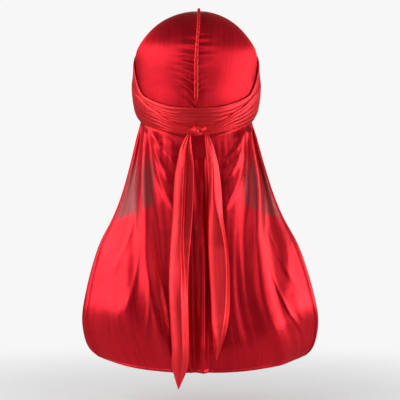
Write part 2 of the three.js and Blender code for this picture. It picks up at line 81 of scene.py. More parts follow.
# Puckers beside the seam: where each starts, how far it climbs, its length, its width and its depth, in mm
puckers_left = [
    (62, 1, 14, 2.4, 0.4), (48, 2, 16, 3, 0.55), (35, 3, 18, 3, 0.9), (21, 6, 20, 2.7, 1.8),
    (9, 9, 17, 2.5, 2.2), (-3, 15, 20, 2.6, 2.6), (-17, 22, 20, 2.8, 2.8), (-30, 26, 18, 2.7, 2.2),
    (-42, 24, 15, 2.7, 1.5),
]
puckers_right = [
    (77, 0, 12, 1.9, 0.6), (72, 1, 14, 1.9, 0.7), (67, 1, 16, 2.1, 0.8), (61, 1, 17, 2.3, 0.9),
    (54, 1, 17, 2.6, 1), (45, 1, 17, 2.8, 1), (33, 2, 16, 3, 1.2), (20, 3, 18, 3.2, 1.4),
    (4, 4, 16, 3.2, 1.4), (-8, 9, 12, 2.2, 1.4), (-16, 12, 12, 2.2, 1.4), (-25, 14, 13, 2.4, 1.4),
]


def ease(value, start, end):
    """0 before start and 1 after end, and between them 3 t squared less 2 t cubed."""
    t = np.clip((value - start) / (end - start), 0, 1)
    return t * t * (3 - 2 * t)


def through(places, values, at):
    """A smooth line through the rows of a table. Between two rows it is the cubic that leaves each row with
    the slope of the straight line between that row's neighbours."""
    places = np.asarray(places, float)
    at = np.clip(np.asarray(at, float), places[0], places[-1])
    values = np.asarray(values, float)
    values = values.reshape(values.shape + (1,) * (at.ndim + 1 - values.ndim)) + np.zeros(at.shape)
    row = np.arange(len(places))
    before, after = np.maximum(row - 1, 0), np.minimum(row + 1, len(places) - 1)
    run = (places[after] - places[before]).reshape((-1,) + (1,) * at.ndim)
    slope = (values[after] - values[before]) / run
    i = np.clip(np.searchsorted(places, at) - 1, 0, len(places) - 2)
    span = places[i + 1] - places[i]
    t = (at - places[i]) / span
    p, q, at_p, at_q = (np.take_along_axis(a, k[None], 0)[0] for a, k in
                        ((values, i), (values, i + 1), (slope, i), (slope, i + 1)))
    return (p * (1 + 2 * t) * (1 - t) ** 2 + at_p * span * t * (1 - t) ** 2
            + q * t * t * (3 - 2 * t) + at_q * span * t * t * (t - 1))


def polar_at(height, lift):
    """The angle from the top of the head at which its squared ellipsoid, grown by lift, has this height."""
    top = height >= 0
    axis = np.where(top, head_top_rise, head_taper_drop) + lift
    power = np.where(top, head_top_power, head_taper_power)
    share = np.minimum(1, np.abs(height) / axis) ** (power / 2)
    return np.arccos(np.where(top, share, -share))


def on_head(azimuth, polar, lift):
    """A squared ellipsoid: half width and depth times sine of the polar angle to the power 2 / girth power,
    height times its cosine to the power 2 / top or taper power, each half axis longer by lift."""
    azimuth, polar, lift = np.broadcast_arrays(np.radians(azimuth), polar, lift)
    top = polar <= math.pi / 2
    girth = np.abs(np.sin(polar)) ** (2 / head_girth_power)
    rise = np.abs(np.cos(polar)) ** (2 / np.where(top, head_top_power, head_taper_power))
    height = np.where(top, head_top_rise + lift, -head_taper_drop - lift) * rise
    swell = head_swell * np.exp(-((height - head_swell_height) / head_swell_reach) ** 2)
    depth = np.where(np.cos(azimuth) > 0, head_back_depth, head_front_depth) + lift
    return np.stack([(head_half_width + swell + lift) * girth * np.sin(azimuth),
                     -depth * girth * np.cos(azimuth), height], -1)


def height_on(line, azimuth):
    return head_top_rise * through(line[:, 0], line[:, 1], np.abs(azimuth))


def drift(points):
    """Moves points sideways with the seam, which leaves the middle towards the top and back of the head."""
    x, y, z = np.moveaxis(points, -1, 0)
    near = (1 - np.minimum(1, np.abs(x) / head_half_width)) ** 2
    points[..., 0] = x + (seam_drift * near * ease(z, *seam_drift_heights)
                          * (1 - ease(y, 0, seam_drift_front)))
    return points


def pucker(table, out, height):
    """Furrows beside the seam. Each is a hollow with a ridge above it, both bell curves of the height, on a
    line that climbs away from the seam and dies out along it."""
    depth = np.zeros_like(out)
    for start, climb, length, width, deep in np.array(table) * 0.001:
        line = start + climb * (1 - np.exp(-out / length))
        t = (height - line) / width
        profile = pucker_ridge * np.exp(-(t - pucker_ridge_up) ** 2) - np.exp(-t * t)
        depth += deep * np.exp(-(out / length) ** 2) * profile
    return depth


def quads(index):
    """The four-sided faces of a grid of point numbers."""
    return np.stack([index[:-1, :-1], index[1:, :-1], index[1:, 1:], index[:-1, 1:]], -1).reshape(-1, 4)


def closed_skin(name, points, faces, flat):
    """An object from points, four-sided faces and each point's place on the flat cloth. The faces are turned
    outward, by the sign of the volume that they enclose, and points that lie together are merged."""
    a, b, c, d = (points[faces[:, k]] for k in range(4))
    volume = np.einsum("ij,ij->i", a, np.cross(b, c) + np.cross(c, d)).sum()
    faces = faces[:, ::-1] if volume < 0 else faces
    mesh = bpy.data.meshes.new(name)
    mesh.vertices.add(len(points))
    mesh.vertices.foreach_set("co", points.astype(np.float32).ravel())
    mesh.loops.add(faces.size)
    mesh.loops.foreach_set("vertex_index", faces.astype(np.int32).ravel())
    mesh.polygons.add(len(faces))
    mesh.polygons.foreach_set("loop_start", np.arange(0, faces.size, 4, dtype=np.int32))
    mesh.polygons.foreach_set("use_smooth", np.ones(len(faces), bool))
    mesh.update(calc_edges=True)
    mesh.uv_layers.new(name="cloth").data.foreach_set("uv", flat[faces.ravel()].astype(np.float32).ravel())
    merged = bmesh.new()
    merged.from_mesh(mesh)
    bmesh.ops.remove_doubles(merged, verts=merged.verts, dist=1e-6)
    merged.to_mesh(mesh)
    merged.free()
    piece = bpy.data.objects.new(name, mesh)
    bpy.context.scene.collection.objects.link(piece)
    return piece


def cloth(name, outer, inner, uv, ring=False):
    """One closed skin of cloth: two like grids of points, an outer and an inner face, with the rim between
    them. The last row joins the first where ring is true. uv gives each point's place on the flat cloth."""
    rows, cols = outer.shape[:2]
    index = np.arange(rows * cols).reshape(rows, cols)
    index = np.vstack([index, index[:1]]) if ring else index
    under = index + rows * cols

    def strip(a, b):
        return np.stack([a[1:], a[:-1], b[:-1], b[1:]], -1)

    parts = [quads(index), quads(under)[:, ::-1], strip(index[:, 0], under[:, 0]),
             strip(under[:, -1], index[:, -1])]
    if not ring:
        parts += [strip(under[0], index[0]), strip(index[-1], under[-1])]
    points = np.concatenate([outer.reshape(-1, 3), inner.reshape(-1, 3)])
    flat = np.concatenate([uv.reshape(-1, 2), uv.reshape(-1, 2)])
    return closed_skin(name, points, np.concatenate(parts), flat)


def set_sockets(tree, node, sockets):
    """Gives each named or numbered socket its value: a constant, or a link where it is another node's."""
    for key, value in sockets.items():
        if isinstance(value, bpy.types.NodeSocket):
            tree.links.new(value, node.inputs[key])
        else:
            node.inputs[key].default_value = value


def add_node(tree, kind, sockets=None, **settings):
    node = tree.nodes.new(kind)
    for key, value in settings.items():
        setattr(node, key, value)
    set_sockets(tree, node, sockets or {})
    return node


def calc(tree, operation, *values, **settings):
    """One step of arithmetic on constants and other nodes' results."""
    sockets = dict(enumerate(values))
    return add_node(tree, "ShaderNodeMath", sockets, operation=operation, **settings).outputs[0]


def satin_weave():
    """Shader group for satin cloth on its own flat coordinates in metres. Height is the rounded long
    threads, each tied down at every fifth crossing, two further along than its neighbour. Streak is the
    uneven shine of thicker and thinner threads."""
    group = bpy.data.node_groups.new("satin_weave", "ShaderNodeTree")
    for name, way, kind in (("Vector", "INPUT", "Vector"), ("Thread", "INPUT", "Float"),
                            ("Height", "OUTPUT", "Float"), ("Streak", "OUTPUT", "Float")):
        group.interface.new_socket(name, in_out=way, socket_type="NodeSocket" + kind)
    enter, leave = group.nodes.new("NodeGroupInput"), group.nodes.new("NodeGroupOutput")
    split = add_node(group, "ShaderNodeSeparateXYZ", {0: enter.outputs["Vector"]})
    across = calc(group, "DIVIDE", split.outputs[0], enter.outputs["Thread"])
    along = calc(group, "DIVIDE", split.outputs[1], enter.outputs["Thread"])
    thread = calc(group, "ABSOLUTE", calc(group, "SINE", calc(group, "MULTIPLY", across, math.pi)))
    step = calc(group, "ADD", calc(group, "MULTIPLY", along, 0.2), calc(group, "MULTIPLY", across, 0.4))
    wave = calc(group, "SINE", calc(group, "MULTIPLY", step, 2 * math.pi))
    point = calc(group, "POWER", calc(group, "MULTIPLY_ADD", wave, 0.5, 0.5), 8)
    tied = calc(group, "SUBTRACT", 1, calc(group, "MULTIPLY", point, 0.7))
    stretch = add_node(group, "ShaderNodeMapping", {0: enter.outputs["Vector"], "Scale": (420, 14, 1)})
    noise = add_node(group, "ShaderNodeTexNoise", {"Vector": stretch.outputs[0], "Scale": 1, "Detail": 3})
    set_sockets(group, leave, {"Height": calc(group, "MULTIPLY", thread, tied), "Streak": noise.outputs[0]})
    return group


def satin(name, deep, light, rough=(0.3, 0.4), metal=0.6, sheen=0.04, creases=0.0006, glide=(0.3, 0.25),
          sheer=0):
    """Dyed satin: a coloured shine over a darker ground, with its threads, the streaks that they leave in
    the shine, soft unevenness in the dye, and shallow creases. The dye runs from deep to light, which each
    part's call sets lighter or darker as painted light and shade, and glide is how far the threads draw out
    the shine, and which way. Where the mesh's layer named sheer, from 0 to 1, says so, a sheer one is
    painted a darker red for the light coming through it, is duller and lets light through."""
    material = bpy.data.materials.new(name)
    material.use_nodes = True
    tree = material.node_tree
    place = add_node(tree, "ShaderNodeUVMap", uv_map="cloth").outputs[0]
    where = add_node(tree, "ShaderNodeTexCoord").outputs["Object"]
    tangent = add_node(tree, "ShaderNodeTangent", direction_type="UV_MAP", uv_map="cloth")
    weave = add_node(tree, "ShaderNodeGroup", {"Thread": thread_pitch, "Vector": place},
                     node_tree=bpy.data.node_groups.get("satin_weave") or satin_weave())
    blotch = add_node(tree, "ShaderNodeTexNoise", {"Vector": where, "Scale": 14, "Detail": 4})
    tone = calc(tree, "MULTIPLY_ADD", weave.outputs["Streak"], 0.5,
                calc(tree, "MULTIPLY", blotch.outputs[0], 0.5))
    dye = add_node(tree, "ShaderNodeValToRGB", {0: tone})
    for stop, position, colour in ((0, 0.3, deep), (1, 0.7, light)):
        dye.color_ramp.elements[stop].position = position
        dye.color_ramp.elements[stop].color = (*colour, 1)
    shine = add_node(tree, "ShaderNodeMapRange", {
        0: weave.outputs["Streak"], "From Min": 0.3, "From Max": 0.7, "To Min": rough[0], "To Max": rough[1],
    })
    crease = add_node(tree, "ShaderNodeTexNoise", {"Vector": where, "Scale": 55, "Detail": 2})
    soft = add_node(tree, "ShaderNodeBump", {
        "Height": crease.outputs[0], "Strength": 0.5, "Distance": creases,
    })
    fine = add_node(tree, "ShaderNodeBump", {
        "Height": weave.outputs["Height"], "Strength": 0.25, "Distance": 0.00006, "Normal": soft.outputs[0],
    })
    colour, metallic, alpha = dye.outputs[0], metal, 1
    if sheer:
        thin = add_node(tree, "ShaderNodeAttribute", attribute_name="sheer").outputs["Fac"]
        # where the cloth is sheer its colour is mixed towards a painted darker red for the light coming
        # through it
        colour = add_node(tree, "ShaderNodeMix", {"Factor": thin, "A": colour, "B": (*backlit_painted_red, 1)},
                          data_type="RGBA").outputs["Result"]
        metallic = calc(tree, "MULTIPLY_ADD", thin, -metal, metal, use_clamp=True)
        alpha = calc(tree, "MULTIPLY_ADD", thin, -sheer, 1)
    set_sockets(tree, tree.nodes["Principled BSDF"], {
        "Base Color": colour, "Metallic": metallic, "Roughness": shine.outputs[0], "Alpha": alpha,
        "IOR": 1.5, "Specular Tint": (1, 0.6, 0.55, 1), "Anisotropic": glide[0],
        "Anisotropic Rotation": glide[1], "Tangent": tangent.outputs[0], "Sheen Weight": sheen,
        "Sheen Roughness": 0.4, "Sheen Tint": (1, 0.25, 0.22, 1), "Normal": fine.outputs[0],
    })
    return material


def dress(piece, material, slot, *nodes):
    piece.data.materials.append(material)
    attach(piece, "root")
    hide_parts(*nodes)


def crown_panel(side, puckers):
    """Rows run from the top of the head to the brow hem's fold, where row is 1, and on to the rim, and
    columns from the nape to the brow. The outer face is the head's form with the wall's lift, the puckers
    beside the seam, which are shallower and lower in front, and a turned hem over the brow."""
    row = np.concatenate([np.linspace(0.004, 1, 170), np.linspace(1.05, 2, 12)])[:, None]
    t = np.linspace(0, 1, 190)[None]
    azimuth = 180 * (t - crown_crowding * np.sin(2 * math.pi * t))
    rim = height_on(rim_line, azimuth)
    half = seam_width / 2 + seam_clearance

    def face(lift):
        fold, edge = polar_at(rim + crown_hem_height, lift), polar_at(rim, lift)
        polar = np.where(row <= 1, fold * row, fold + (edge - fold) * (row - 1))
        p = on_head(azimuth, polar, lift)
        p[..., 0] = half + p[..., 0] * (1 - half / (head_half_width + lift))
        return p

    turned = ease(row, 1, 1.15) * ease(azimuth, *brow_hem)
    smooth = face(crown_wall)
    out, height = smooth[..., 0], smooth[..., 2]
    front = ease(smooth[..., 1], *front_puckers)
    relief = (1 - front) * pucker(puckers, out, height) + (
        front * front_pucker_share * pucker(puckers, out, height + front_pucker_drop))
    relief *= ease(row, 0, 0.12) * (1 - ease(row, 0.93, 1))
    outer = face(crown_wall + crown_hem_extra * turned + relief)
    inner = face(np.minimum(0, relief))
    uv = np.stack([head_back_depth * np.radians(azimuth) * np.sin(np.minimum(row, 1) * math.pi / 2),
                   crown_reach * row + 0 * azimuth], -1)
    for points in (outer, inner):
        points[..., 0] *= side
        drift(points)
    return cloth("crown_panel_left" if side < 0 else "crown_panel_right", outer, inner, uv)


# Painted light: the crown's copy of the satin has a lighter dye than the cape's, for the broad shine over
# the head; crown and cape are one satin
crown_satin_painted_light = satin("crown_satin_painted_light", deep=(0.5, 0.003, 0.014), light=(0.88, 0.012, 0.03), rough=(0.46, 0.56),
                  metal=0.7, sheen=0.06, glide=(0.8, 0))
crown_left = crown_panel(-1, puckers_left)
crown_right = crown_panel(1, puckers_right)
dress(crown_left, crown_satin_painted_light, "satin", "crown_left")
dress(crown_right, crown_satin_painted_light, "satin", "crown_right")

# Centre seam
# The two panels' edges, turned outwards and stitched together, stand up as a soft bead from the brow to
# the nape. It is thin and tall over the top, and lower down the ties press it flatter and wider.
bead_half = 0.0019
bead_rise = 0.003397
bead_wide = 1.35  # its width below the crown's widest part, as a share of its width at the top
bead_low = 0.25  # and how much of its height it loses there
bead_low_angles = (1.1, 1.5)  # polar angles behind, in radians, between which it gets so
bead_groove = 0.1  # depth of the groove along it there, as a share of its height
bead_turn = math.radians(145)  # how far its section turns from the top to each side
bead_flat = (1.5, 0.095)  # its flat cloth, for 1 across it and for a radian along it
bead_sunk = 0.04  # share of its height under the ties
bead_sinks = (math.radians(1.5), math.radians(7))  # and how far from the ties it sinks
band_width = 0.044

band_line = np.array([  # the ties' first turn: azimuth, middle's height, width as a share of band_width
    (0, -0.6, 0.8), (20, -0.575, 0.78), (32, -0.53, 0.76), (45, -0.46, 0.74), (58, -0.38, 0.8),
    (70, -0.2, 0.94), (80, 0, 1), (90, 0.13, 1), (105, 0.26, 0.97), (120, 0.34, 0.98), (150, 0.4, 1.04),
    (180, 0.41, 1.04),
])


def centre_seam():
    """A bead carried along the head's middle line. Its section is a stem between the panels and a round
    over them, wavy where the stitches pull, and it sinks where the ties cross it."""
    nape, brow = (polar_at(height_on(rim_line, azimuth), 0.0) for azimuth in (0.0, 180.0))
    angle = np.linspace(-nape, brow, 420)[:, None]
    azimuth = np.where(angle < 0, 0.0, 180.0)
    half_band = band_width * through(band_line[:, 0], band_line[:, 2], azimuth) / 2
    clear = polar_at(height_on(band_line, azimuth) + half_band, 0.0) - np.abs(angle)
    raised = bead_sunk + (1 - bead_sunk) * ease(clear, *bead_sinks)
    turn = np.linspace(-bead_turn, bead_turn, 21)[None]
    lower = ease(-angle, *bead_low_angles)
    wave = 1 + 0.06 * np.sin(angle * 95) + 0.04 * np.sin(angle * 61 + 1)
    wide = bead_half * (1 + (bead_wide - 1) * lower) * wave * (0.4 + 0.6 * raised)
    tall = bead_rise * (1 - bead_low * lower) * wave
    groove = 1 - bead_groove * lower * np.exp(-(turn / 0.35) ** 2)
    share = (np.cos(turn) - math.cos(bead_turn)) / (1 - math.cos(bead_turn))
    lift = raised * (crown_wall + seam_clearance + tall * share * groove)
    x = np.concatenate([-seam_width / 2 + 0 * angle, np.sin(turn) * wide, seam_width / 2 + 0 * angle], 1)
    up = np.concatenate([0 * angle, lift, 0 * angle], 1)
    outer = on_head(azimuth + 0 * x, np.abs(angle) + 0 * x, up)
    inner = on_head(azimuth + 0 * x, np.abs(angle) + 0 * x, 0 * up)
    outer[..., 0] = x
    inner[..., 0] = np.linspace(-1, 1, x.shape[1])[None] * seam_width / 2
    uv = np.stack([bead_flat[0] * x, bead_flat[1] * angle + 0 * x], -1)
    return cloth("seam_bead", drift(outer), drift(inner), uv)


# Painted highlight: the seam's bead and the knot take a much lighter copy of the satin, for their bright
# shine
painted_highlight_satin = satin("red_satin_painted_highlight", deep=(0.75, 0.015, 0.025), light=(0.98, 0.04, 0.05),
                   rough=(0.44, 0.54), creases=0.0004)
seam = centre_seam()
dress(seam, painted_highlight_satin, "satin_seam", "centre_seam")

# Cape
# A wide single layer of the same satin, sewn to the crown under the ties and rolled at its edges. It hangs
# in long folds that start where the ties gather it, and at the top of its sides some light passes through.
cape_wall = 0.001
layer_gap = 0.0005
cape_spread = 76  # azimuth of its top corners
cape_tuck = 0.012  # how far it reaches up under the ties
cape_half_width = 0.151  # on the flat cloth
cape_corner_out = 0.134  # its bottom corners, out, down and back from the head's middle
cape_corner_drop = 0.357
cape_corner_back = 0.06
cape_hem_sag = 0.017  # how far the hem's middle lies below its corners
cape_middle_back = 0.112
cape_lean = 0.006  # how far it hangs to the right
cape_fold_depth = 0.009
cape_hem_width = 0.0035
cape_hem_extra = 0.0014
hem_roll_start = 1.4  # where the roll begins, in hem widths from the edge
hem_lines_end = 2  # and where the mesh's even lines and rows end
cape_hem_tuck = 0.016  # how far the hem turns in
hem_tuck_levels = (0.88, 1.04)  # between these levels, in the middle
hem_tuck_rise = 0.16  # and from so much higher at the corners
fold_backward = 1.6  # folds push straight back by this much for 1 along the sheet's normal
gather_depth = 0.00012
ripple_depth = 0.00025
cape_flat_drop = 0.85 * cape_corner_drop  # the cloth's length for one unit of the mesh's rows
cape_sheer = 0.045  # how much light each face lets through at the top of the sides
sheer_middle = 0.004  # where the neck's middle is
sheer_inside = (0.057, 0.06)  # the neck's shadow ends between these distances from it
sheer_low = -0.166  # the height down to which light passes, at the neck
sheer_low_slope = 0.4  # and how fast that falls outwards
sheer_low_blur = 0.008
sheer_top = (-0.125, -0.085)  # heights between which it fades out under the ties
sheer_gaps = [  # where folds double the cloth: line and width
    (-0.645, 0.045), (0.66, 0.04), (0.55, 0.012), (-1, 0.05), (1, 0.05),
]

cape_line = np.array([  # where it leaves the ties: azimuth, height
    (0, -0.805), (23, -0.78), (39, -0.715), (55, -0.64), (76, -0.55),
])
cape_edge = np.array([  # how far down a hanging edge, and how far it bows out as a share of cape_half_width
    (0, 0), (0.1, 0.008), (0.2, 0.02), (0.32, 0.046), (0.42, 0.088), (0.52, 0.152), (0.62, 0.182),
    (0.74, 0.195), (0.84, 0.188), (0.92, 0.14), (0.97, 0.08), (1, 0),
])
cape_levels = [0, 0.25, 0.5, 0.75, 1]
cape_guides = [-1, -0.66, 0, 0.66, 1]
cape_flow = [  # where each guide runs at each level, as a share of half the cape's width
    (-1, -1, -1, -1, -1), (-0.85, -0.75, -0.57, -0.43, -0.32), (0, 0.02, 0.03, 0.02, 0.015),
    (0.87, 0.81, 0.61, 0.6, 0.78), (1, 1, 1, 1, 1),
]

# Folds, at seven levels from the ties to the hem: the line that each follows, how far it stands out as a
# share of cape_fold_depth (or in, where negative), and its width in lines
fold_levels = [0, 0.1, 0.3, 0.5, 0.7, 0.88, 1]
cape_folds = [
    ((-0.93,) * 7, (0.2, 0.3, 0.3, 0.1, 0, 0, 0), (0.05,) * 7),
    ((-0.8,) * 7, (-0.2, -0.5, -0.2, 0.1, 0.2, 0.1, 0), (0.1,) * 7),
    ((-0.72, -0.72, -0.72, -0.73, -0.79, -0.84, -0.86), (0, 0, 0, 0.1, 0.22, 0.22, 0.1), (0.06,) * 7),
    ((-0.64, -0.61, -0.58, -0.59, -0.58, -0.56, -0.55), (0.4, 0.7, 0.9, 0.95, 0.8, 0.6, 0.2),
     (0.05, 0.075, 0.1, 0.08, 0.09, 0.1, 0.1)),
    ((-0.55, -0.53, -0.49, -0.48, -0.46, -0.46, -0.46), (-0.3, -0.4, -0.25, -0.2, -0.3, -0.3, -0.1),
     (0.05, 0.055, 0.06, 0.07, 0.09, 0.09, 0.09)),
    ((-0.48, -0.42, -0.28, -0.22, -0.2, -0.2, -0.2), (0.4, 0.6, 0.3, 0.1, 0.1, 0.1, 0), (0.1,) * 7),
    ((0,) * 7, (0, -0.5, -0.8, -0.8, -0.6, -0.4, 0), (0.34,) * 7),
    ((-0.3, -0.26, -0.2, -0.2, -0.2, -0.2, -0.2), (0.3, 0.3, 0, 0, 0, 0, 0), (0.06,) * 7),
    ((0.01, 0.01, 0.03, 0.03, 0.03, 0.03, 0.03), (-0.8, -1.1, -1.2, -0.6, -0.4, -0.2, 0), (0.1,) * 7),
    ((-0.1,) * 7, (0, 0, -0.3, -0.7, -0.7, -0.6, -0.3), (0.05,) * 7),
    ((-0.04, -0.01, 0.03, 0.03, 0.02, 0.01, 0.01), (0, 0.1, 0.3, 0.7, 0.8, 0.7, 0.5), (0.035,) * 7),
    ((0.1, 0.09, 0.08, 0.075, 0.07, 0.07, 0.07), (-0.2, -0.3, -0.5, -0.7, -0.7, -0.5, -0.2), (0.035,) * 7),
    ((0.55, 0.46, 0.27, 0.3, 0.3, 0.3, 0.3), (0.5, 0.6, 0.4, 0.1, 0, 0, 0), (0.11,) * 7),
    ((0.6, 0.56, 0.5, 0.5, 0.49, 0.48, 0.48), (-0.3, -0.5, -0.35, -0.3, -0.2, -0.1, 0),
     (0.04, 0.045, 0.07, 0.08, 0.12, 0.14, 0.14)),
    ((0.68, 0.65, 0.63, 0.635, 0.63, 0.63, 0.64), (0.4, 0.7, 0.9, 1, 1, 0.8, 0.3),
     (0.045, 0.065, 0.085, 0.07, 0.08, 0.09, 0.09)),
    ((0.8,) * 7, (-0.3, -0.5, -0.5, -0.4, -0.2, 0, 0), (0.07,) * 7),
    ((0.91, 0.91, 0.91, 0.9, 0.8, 0.77, 0.76), (0.3, 0.3, 0.3, 0.3, 0.3, 0.2, 0), (0.05,) * 7),
]

# Swags, shallow folds across the top and the lower sides: the line and level where each starts and ends,
# its width in levels, and its height
cape_swags = [
    (-0.54, 0.02, -0.12, 0.1, 0.016, 0.0016), (-0.52, 0.05, -0.18, 0.2, 0.02, 0.0018),
    (-0.5, 0.1, -0.16, 0.33, 0.024, 0.0016), (0.57, 0.02, 0.14, 0.13, 0.016, 0.0018),
    (0.54, 0.05, 0.14, 0.21, 0.02, 0.002), (0.52, 0.1, 0.16, 0.32, 0.024, 0.0018),
    (-0.64, 0.45, -0.86, 0.78, 0.03, 0.0014), (-0.58, 0.58, -0.78, 0.9, 0.03, 0.001),
    (-0.72, 0.38, -0.95, 0.66, 0.03, 0.0014), (0.7, 0.5, 0.86, 0.86, 0.03, 0.0016),
    (0.76, 0.42, 0.95, 0.72, 0.03, 0.0014),
]

# Where the cape billows over its lower sides: line, how far down, width, length and height
cape_billows = [(-0.76, 0.6, 0.3, 0.22, 0.009), (0.86, 0.66, 0.2, 0.19, 0.009)]

# Fine waves under the ties and faint ones lower down: radians across the cape and down it, and phase
cape_gathers = [(43, 4, 0), (59, -3, 1), (101, 0, 2)]
cape_ripples = [(31, 5, 0), (47, -6, 2), (73, 3, 4)]


def skin(azimuth, height, lift):
    return on_head(azimuth, polar_at(height, lift), lift)


def cape_on_head(across, down):
    azimuth = across * cape_spread
    leaves = height_on(cape_line, azimuth)
    return skin(azimuth, leaves + cape_tuck * (1 - down), crown_wall + layer_gap)


def cape_hangs(across, down):
    """The smooth sheet under the folds: straight lines from the ties to the hem's curve, widened towards
    each side by that side's bow."""
    hem = np.stack([across * cape_corner_out + cape_lean,
                    -(cape_corner_back + (cape_middle_back - cape_corner_back) * (1 - across ** 2)),
                    -cape_corner_drop - cape_hem_sag * (1 - np.abs(across) ** 3)], -1)
    top = cape_on_head(across, 1)
    p = top + (hem - top) * down[..., None]
    p[..., 0] += cape_half_width * through(cape_edge[:, 0], cape_edge[:, 1], down) * across
    return p


def waves(table, line, down):
    return sum(np.cos(across * line + along * down + phase) for across, along, phase in table)


def fold_height(line, down):
    """The sum of the folds, each a bell curve across the cape whose middle, height and width run down it,
    of the swags, bell curves down it along quarter waves, and of the fine gathers and ripples."""
    height = np.zeros_like(line)
    for middle, out, width in cape_folds:
        off = (line - through(fold_levels, middle, down)) / through(fold_levels, width, down)
        share = through(fold_levels, out, down)
        starts = np.where(share > 0, ease(down, 0, 0.04), ease(down, 0, 0.1))
        height += starts * share * np.exp(-off * off)
    height *= cape_fold_depth
    for line_from, level_from, line_to, level_to, width, rise in cape_swags:
        t = np.clip((line - line_from) / (line_to - line_from), 0, 1)
        level = level_from + (level_to - level_from) * np.sin(math.pi / 2 * t)
        bell = np.exp(-((down - level) / width) ** 2)
        height += rise * bell * np.sin(math.pi * t) ** 0.7 * ease(down, 0, 0.03)
    high = ease(down, 0, 0.04) * (1 - ease(down, 0.06, 0.3))
    low = ease(down, 0.2, 0.5) * (1 - ease(down, 0.8, 1))
    height += gather_depth * high * waves(cape_gathers, line, down)
    height += ripple_depth * low * waves(cape_ripples, line, down)
    return height * (1 - line ** 10)


def belly(line, down):
    """How far the cape stands backwards besides its folds: the billows, bell curves both ways that end more
    sharply below, less the hem's tuck."""
    tuck_from, tuck_to = hem_tuck_levels
    out = -cape_hem_tuck * ease(down, tuck_from - hem_tuck_rise * line ** 2, tuck_to)
    for middle, level, width, length, rise in cape_billows:
        below = (down - level) / length
        fall = np.where(below > 0, below ** 4, below ** 2)
        out = out + rise * np.exp(-((line - middle) / width) ** 2 - fall)
    return out


def cape_piece():
    """Lines of the cloth across and rows down it, the first rows lying on the head under the ties. Folds
    push the smooth sheet out between its normal and straight back. The outer face stands off it along the
    normal by the wall and the rolled hem, and under the ties in the head's outward direction."""
    edge, low = cape_hem_width / cape_half_width, cape_hem_width / cape_corner_drop
    line = np.concatenate([np.linspace(-1, -1 + hem_roll_start * edge, 7),
                           np.linspace(-1 + hem_lines_end * edge, 1 - hem_lines_end * edge, 196),
                           np.linspace(1 - hem_roll_start * edge, 1, 7)])[None]
    row = np.concatenate([np.linspace(0, 1, 8), np.linspace(1.006, 2 - hem_lines_end * low, 190),
                          np.linspace(2 - hem_roll_start * low, 2, 7)])[:, None]
    line, row = np.broadcast_arrays(line, row)
    down = np.maximum(row - 1, 0)
    guides = [through(cape_levels, guide, down) for guide in cape_flow]
    across = through(cape_guides, guides, line)
    hangs = cape_hangs(across, down)
    hangs[..., 1] -= belly(line, down)
    normal = np.cross(np.gradient(hangs, axis=1), np.gradient(hangs, axis=0))
    normal /= np.linalg.norm(normal, axis=-1, keepdims=True) + 1e-12
    normal *= -np.sign(normal[..., 1:2])
    folds_to = normal + fold_backward * np.array([0, -1, 0])
    folds_to /= np.linalg.norm(folds_to, axis=-1, keepdims=True)
    hangs += folds_to * fold_height(line, down)[..., None]
    from_head = cape_on_head(across, 1) * (1, 1, 0)
    from_head /= np.linalg.norm(from_head, axis=-1, keepdims=True)
    free = ease(down, 0, 0.08)[..., None]
    away = from_head * (1 - free) + normal * free
    away /= np.linalg.norm(away, axis=-1, keepdims=True)
    beside = (np.abs(line) - 1) / (hem_roll_start * edge) + 1
    below = (row - 2) / (hem_roll_start * low) + 1
    roll = np.sin(math.pi * np.clip(np.maximum(beside, below), 0, 1) ** 0.8) * ease(row, 1, 1.08)

    def face(lift):
        azimuth = across * cape_spread
        height = height_on(cape_line, azimuth) + cape_tuck * np.maximum(1 - row, 0)
        on_it = skin(azimuth, height, crown_wall + layer_gap + lift)
        return np.where(row[..., None] <= 1, on_it, hangs + away * lift[..., None])

    outer = face(cape_wall + cape_hem_extra * roll)
    inner = face(-0.5 * cape_hem_extra * roll)
    uv = np.stack([line * cape_half_width, row * cape_flat_drop], -1)
    return cloth("cape_cloth", outer, inner, uv), outer, line


def add_sheer(piece, outer, line):
    """A layer, from 0 to 1, of where light passes: the top of the sides, outside the neck's shadow, down to
    a line that falls outwards, but not where the cloth doubles up in a fold."""
    x, z = np.abs(outer[..., 0] - sheer_middle), outer[..., 2]
    limit = sheer_low - sheer_low_slope * (x - sheer_inside[1])
    thin = ease(x, *sheer_inside) * ease(z, limit, limit + sheer_low_blur) * (1 - ease(z, *sheer_top))
    for middle, width in sheer_gaps:
        thin = thin * (1 - np.exp(-((line - middle) / width) ** 4))
    both = np.concatenate([thin.ravel(), thin.ravel()]).astype(np.float32)
    piece.data.attributes.new("sheer", "FLOAT", "POINT").data.foreach_set("value", both)


# Painted shade: the cape's copy of the satin has a darker dye than the crown's, for the dark folds of the
# cape
cape_satin_painted_shade = satin("red_satin_cape_painted_shade", deep=(0.42, 0.0015, 0.01), light=(0.72, 0.005, 0.02), creases=0.0014,
                   sheer=cape_sheer)
cape, cape_outer, cape_lines = cape_piece()
add_sheer(cape, cape_outer, cape_lines)
dress(cape, cape_satin_painted_shade, "satin", "cape")

# Ties round the head
# Two long tapering straps of doubled satin, sewn to the sides of the brow. They lie in pleats, pass round
# the head over the cape's top edge, cross on the forehead and come back to be knotted at the nape.
tie_wall = 0.001
pleat_depth = 0.0005
tie_pitch = tie_wall + pleat_depth + layer_gap
first_hug = 0.0005  # how far the ties' edges sink onto what they lie on
second_hug = 0.0009
tie_radius = 0.09  # of the head under them, for their length on the flat cloth

